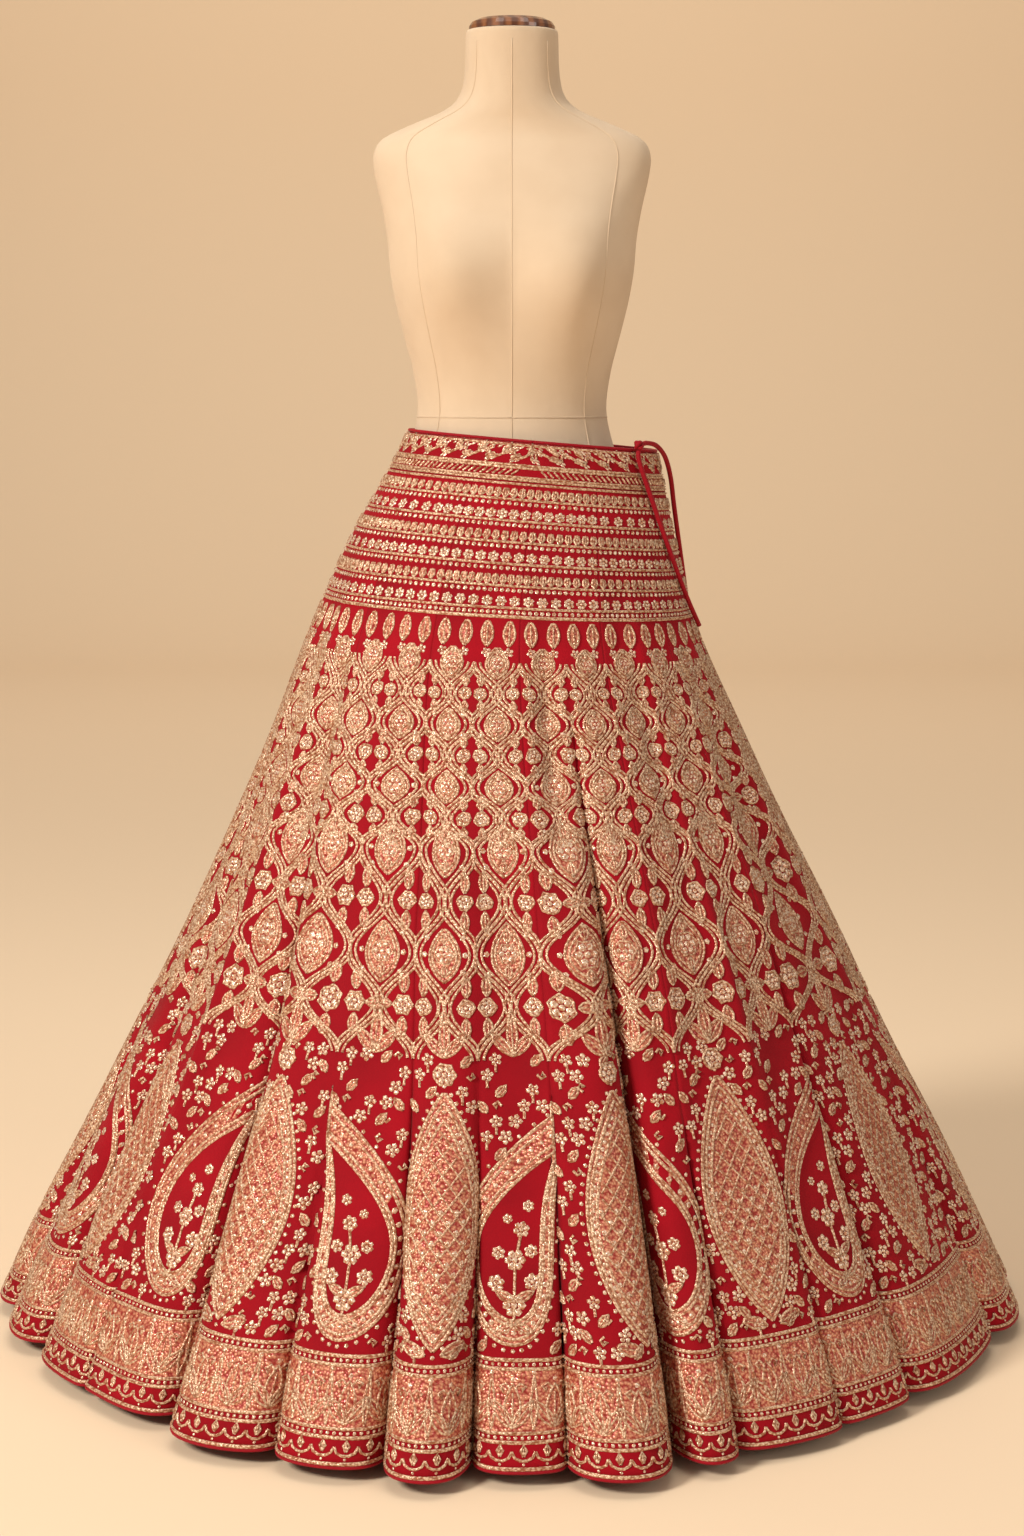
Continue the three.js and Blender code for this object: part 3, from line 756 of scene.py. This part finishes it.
# The drawstring: a knot at the band's edge and two free ends down the hip.
tie = {"diameter": 0.0055, "rest": 3.5, "knot": 0.0062, "knotCord": 0.0024, "firstLift": 0.0064}
def surfaceAtBearing(bearing, z):
    lobe = 0
    while valleyBearing(lobe + 1, z) < bearing:
        lobe += 1
    start, end = valleyBearing(lobe, z), valleyBearing(lobe + 1, z)
    return skirtPoint(lobe + (bearing - start) / (end - start), z)


def tiePoint(bearing, z, lift):
    a = math.radians(bearing)
    if z > skirt["seamZ"]:
        at = outlinePoint(np.array(a), np.array(float(z)), 0, skirt["tilt"])
    else:
        at = surfaceAtBearing(bearing, z)
    out = np.array([math.sin(a), -math.cos(a), 0.3])
    return at + out / np.linalg.norm(out) * (lift + tie["rest"]) / 1000


def smoothPath(stops, per=9):
    stops = np.asarray(stops, float)
    padded = np.vstack([2 * stops[0] - stops[1], stops, 2 * stops[-1] - stops[-2]])
    parts = []
    for i in range(1, len(padded) - 2):
        p0, p1, p2, p3 = padded[i - 1:i + 3]
        t = np.linspace(0, 1, per, endpoint=False)[:, None]
        parts.append(0.5 * (2 * p1 + (p2 - p0) * t + (2 * p0 - 5 * p1 + 4 * p2 - p3) * t**2
                            + (3 * p1 - p0 - 3 * p2 + p3) * t**3))
    return np.vstack([*parts, stops[-1:]])


knotCentre = tiePoint(52, 1024, 5.5)
# bearing, height and lift off the cloth along each free end
routes = {
    "front": [(51.5, 1010, 3.5), (53.5, 992, 3), (57, 968, 2.5), (62, 935, 2), (67.5, 895, 2),
              (74, 855, 2), (81, 818, 2)],
    "side": [(59, 1027, 5.5), (67, 1024, 7), (76, 1012, 7.5), (85, 990, 6), (91, 958, 3.5), (96, 920, 2.5),
             (100, 880, 2), (103, 842, 2)],
}
for name, stops in routes.items():
    points = [tiePoint(*stop) for stop in stops]
    away = points[0] - knotCentre
    first = knotCentre + away / np.linalg.norm(away) * tie["firstLift"]
    path = smoothPath([first, *points])
    obj = tube(f"drawstring_{name}_end", path, tie["diameter"] / 2, pipingRed)
    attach(obj, "root")
    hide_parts(f"drawstring_{name}_tie")
a = np.arange(61) % 60 / 60 * 2 * np.pi
reach = (2 + np.cos(3 * a)) / 3 * 1.1
loops = np.stack([reach * np.cos(2 * a), reach * np.sin(2 * a), np.sin(3 * a) * 0.9], 1)
knot = tube("drawstring_tied_knot", knotCentre + tie["knot"] * 0.55 * loops, tie["knotCord"], pipingRed, 8)
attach(knot, "root")
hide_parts("drawstring_knot")
print("drawstring made")

# The gores and their embroidery.
strips = makeStrips()
for gore in range(skirt["gores"]):
    firstLobe = gore * skirt["lobes"]
    pair = strips[firstLobe:firstLobe + skirt["lobes"]]
    climb = pair[0].heights[-1]
    b = np.linspace(0, climb, skirt["rows"])[:, None]
    grids, uvs = [], []
    for n, s in enumerate(pair):
        t = np.linspace(-1, 1, skirt["columns"] + 1)[None, (1 if n else 0):]
        x = t * s.half(b)
        grids.append(s.at(x, b)[0])
        uvs.append(np.stack(np.broadcast_arrays(x + n * (pair[0].half(b) + s.half(b)), b), -1))
    points, uv = np.concatenate(grids, 1), np.concatenate(uvs, 1)
    cloth = gridObject(f"cloth_{gore + 1:02d}", points, uv, silk, skirt["thickness"])
    node = f"gore_{gore + 1:02d}"
    e = Embroidery()
    for n, s in enumerate(pair):
        decorate(e, s, firstLobe + n)
    stitched = e.build(f"embroidery_{gore + 1:02d}", [goldCord, goldKnot, goldFill])
    widths = 2 * (pair[0].half(b) + pair[1].half(b)).ravel()
    for obj in (cloth, stitched):
        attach(obj, "root")
    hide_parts(node)
print("gores made")

# The waistband, its embroidery and the pipings.
band = {"height": 42.0, "thickness": 0.0022, "columns": 240, "rows": 10, "seam": 0.4,
        "lines": (0.0012, 0.0040, 0.0145, 0.0172, 0.0395)}
piping = {"waist": 0.0019, "hem": 0.0018, "hemDrop": 0.0015}
bandColumns = band["columns"]
angles = np.radians(np.linspace(0, 360, bandColumns + 1))
heights = np.linspace(0, band["height"], band["rows"] + 1)
bandZ = skirt["seamZ"] + band["seam"] + heights
bandPoints = outlinePoint(angles[None, :], bandZ[:, None], 0, skirt["tilt"])
bandStrip = Strip(bandPoints, heights / 1000)
bandX = np.linspace(-1, 1, bandColumns + 1)[None] * bandStrip.half(heights / 1000)[:, None]
bandUv = np.stack(np.broadcast_arrays(bandX, heights[:, None] / 1000), -1)
waist = gridObject("waist_cloth", bandPoints, bandUv, silk, band["thickness"], ring=True)
e = Embroidery()
girth = 2 * float(bandStrip.half(0.02))
for b in band["lines"]:
    line = np.stack([np.linspace(-1, 1, 200) * bandStrip.half(b), np.full(200, b)], 1)
    e.cord(bandStrip, line, work["fine"])
count = int(girth / 0.0062)
for x in (np.arange(count) + 0.5) / count * girth - girth / 2:
    e.cord(bandStrip, [(x, 0.0062), (x, 0.0124)], 0.0022)
count = int(girth / 0.025)
vineX = np.linspace(-girth / 2, girth / 2, 12 * count)
vineB = 0.0282 + 0.0052 * np.sin(vineX * 2 * math.pi * count / girth)
e.cord(bandStrip, np.stack([vineX, vineB], 1), work["fine"])
for k, x in enumerate((np.arange(2 * count) + 0.5) / (2 * count) * girth - girth / 2):
    side = -1 if k % 2 else 1
    flower(e, bandStrip, x, 0.0282 - side * 0.0045, 0.0052, petals=5, ring=False)
    leaf(e, bandStrip, x + 0.005, 0.0282 + side * 0.002, 0.0055, 0.011, side * 50 - 40)
for k in range(int(girth / 0.007)):
    e.domes(bandStrip, (k + 0.5) * 0.007 - girth / 2, 0.0367, 0.0019)
bandWork = e.build("waist_embroidery", [goldCord, goldKnot, goldFill])
for obj in (waist, bandWork):
    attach(obj, "root")
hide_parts("waistband")
edgeZ = skirt["seamZ"] + band["seam"] + band["height"] + 1000 * piping["waist"]
edgePath = outlinePoint(angles, np.full(len(angles), edgeZ), 0.8, skirt["tilt"])
edge = tube("waist_cord", edgePath, piping["waist"], pipingRed, 8)
places = (np.arange(lobeCount)[:, None] + (1 - np.cos(np.linspace(0, np.pi, 25)[None, :-1])) / 2).ravel()
hemPath = skirtPoint(np.append(places, lobeCount), skirt["hemZ"])
hemPath[:, 2] -= piping["hemDrop"]
hem = tube("hem_cord", hemPath, piping["hem"], pipingRed, 6)
for obj, node in ((edge, "waist_piping"), (hem, "hem_piping")):
    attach(obj, "root")
    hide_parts(node)
print("waistband and pipings made")

# The dress form: half width, half depth, forward shift and bust by height, in millimetres.
formRows = np.array([
    (782, 126, 96, 0, 0), (800, 138, 107, 0, 0), (850, 150, 114, -2, 0), (900, 150, 114, -4, 0),
    (945, 139, 106, -3, 0), (985, 126, 96, -1, 0), (1020, 114, 87, 0, 0), (1055, 107.5, 82, 0, 0),
    (1095, 112, 86, 2, 2), (1135, 122, 91, 3, 12), (1175, 132, 95, 2, 27), (1210, 138, 97, 0, 31),
    (1245, 141, 95, -4, 22), (1280, 147, 88, -9, 9), (1315, 155, 77, -15, 1), (1340, 157, 66, -19, 0),
    (1358, 146, 57, -21, 0), (1374, 112, 53, -20, 0), (1388, 78, 52, -18, 0), (1404, 60, 51, -16, 0),
    (1430, 53.5, 50, -13, 0), (1470, 52, 50, -11, 0), (1476, 50, 48, -11, 0),
], float)


def formPoints(columns=96, per=4):
    dense = smoothPath(formRows, per)
    a = np.radians(np.linspace(0, 360, columns + 1))
    side = np.degrees(np.abs((a + np.pi) % (2 * np.pi) - np.pi))
    mound = np.exp(-((side - 34) / 25) ** 2)
    z, width, depth, forward, bust = (dense[:, k][:, None] for k in range(5))
    front = depth * np.cos(a) + forward + bust * mound
    return np.stack(np.broadcast_arrays(width * np.sin(a), -front, z), -1) / 1000


torsoPoints = formPoints()
across = np.linspace(0, 0.8, torsoPoints.shape[1])[None]
torsoUv = np.stack(np.broadcast_arrays(across, torsoPoints[:, :1, 2]), -1)
torso = gridObject("torso_canvas", torsoPoints, torsoUv, canvas, ring=True)
bm = bmesh.new()
bm.from_mesh(torso.data)
bmesh.ops.holes_fill(bm, edges=[edge for edge in bm.edges if edge.is_boundary], sides=200)
bmesh.ops.recalc_face_normals(bm, faces=bm.faces)
bm.to_mesh(torso.data)
bm.free()
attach(torso, "root")
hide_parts("form_torso")


def seam(name, path, radius):
    obj = tube(name, path, radius, canvas, 6)
    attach(obj, "root")


for n, column in enumerate((0, 13, 83, 48)):  # front, two sides of the bust, back
    line = torsoPoints[:, column]
    seam(f"form_seam_{n + 1}", line[(line[:, 2] > 1.0) & (line[:, 2] < 1.47)], 0.0007)
waistRow = np.argmin(np.abs(torsoPoints[:, 0, 2] - 1.046))
seam("form_waist_seam", torsoPoints[waistRow], 0.0009)

for node, material in (("form_neck_cap", wood), ("stand_pole", iron), ("stand_foot", iron)):
    mesh = frame["nodes"][node].data
    mesh.materials.clear()
    mesh.materials.append(material)
print("form made")

# Floor, backdrop and lights.
stage = {"front": -14.0, "wall": 10.0, "bend": 2.5, "top": 12.0, "half": 16.0, "world": 0.30}
turns = np.linspace(0, math.pi / 2, 20)
bendStart = stage["wall"] - stage["bend"]
bend = np.stack([bendStart + stage["bend"] * np.sin(turns), stage["bend"] * (1 - np.cos(turns))], 1)
sweep = np.concatenate([[(stage["front"], 0), (0, 0)], bend, [(stage["wall"], stage["top"])]])
across = np.linspace(stage["half"], -stage["half"], 5)[None]
stagePoints = np.stack(np.broadcast_arrays(across, sweep[:, :1], sweep[:, 1:]), -1)
paper = newMaterial("studio paper", (0.88, 0.68, 0.47), 0.9)
floor = gridObject("floor", stagePoints, stagePoints[..., :2], paper)


def softLight(name, place, aim, size, power, color):
    data = bpy.data.lights.new(name, "AREA")
    data.shape = "RECTANGLE"
    data.size, data.size_y = size
    data.energy = power
    data.color = color
    obj = bpy.data.objects.new(name, data)
    bpy.context.scene.collection.objects.link(obj)
    obj.location = place
    away = obj.location - type(obj.location)(aim)
    obj.rotation_euler = away.to_track_quat("Z", "Y").to_euler()


# place, aim, size, power and colour of each light
lights = {
    "key": ((-3.9, -3.7, 4.0), (0, 0, 0.6), (1.4, 1.4), 340, (1.0, 0.96, 0.90)),
    "fill": ((4.8, -4.0, 2.6), (0, 0, 0.7), (2.8, 2.8), 75, (1.0, 0.95, 0.90)),
    "top": ((0, 0.6, 4.0), (0, 0, 0.5), (2.6, 2.6), 55, (1.0, 0.96, 0.90)),
    "backdrop": ((0, 5.0, 5.5), (0, 10, 1.5), (6.0, 2.0), 140, (1.0, 0.93, 0.84)),
}
for name, values in lights.items():
    softLight(name, *values)
world = bpy.data.worlds.new("world")
bpy.context.scene.world = world
world.use_nodes = True
world.node_tree.nodes["Background"].inputs["Color"].default_value = (1.0, 0.93, 0.84, 1)
world.node_tree.nodes["Background"].inputs["Strength"].default_value = stage["world"]
bpy.context.scene.view_settings.view_transform = "Standard"
print("stage made")
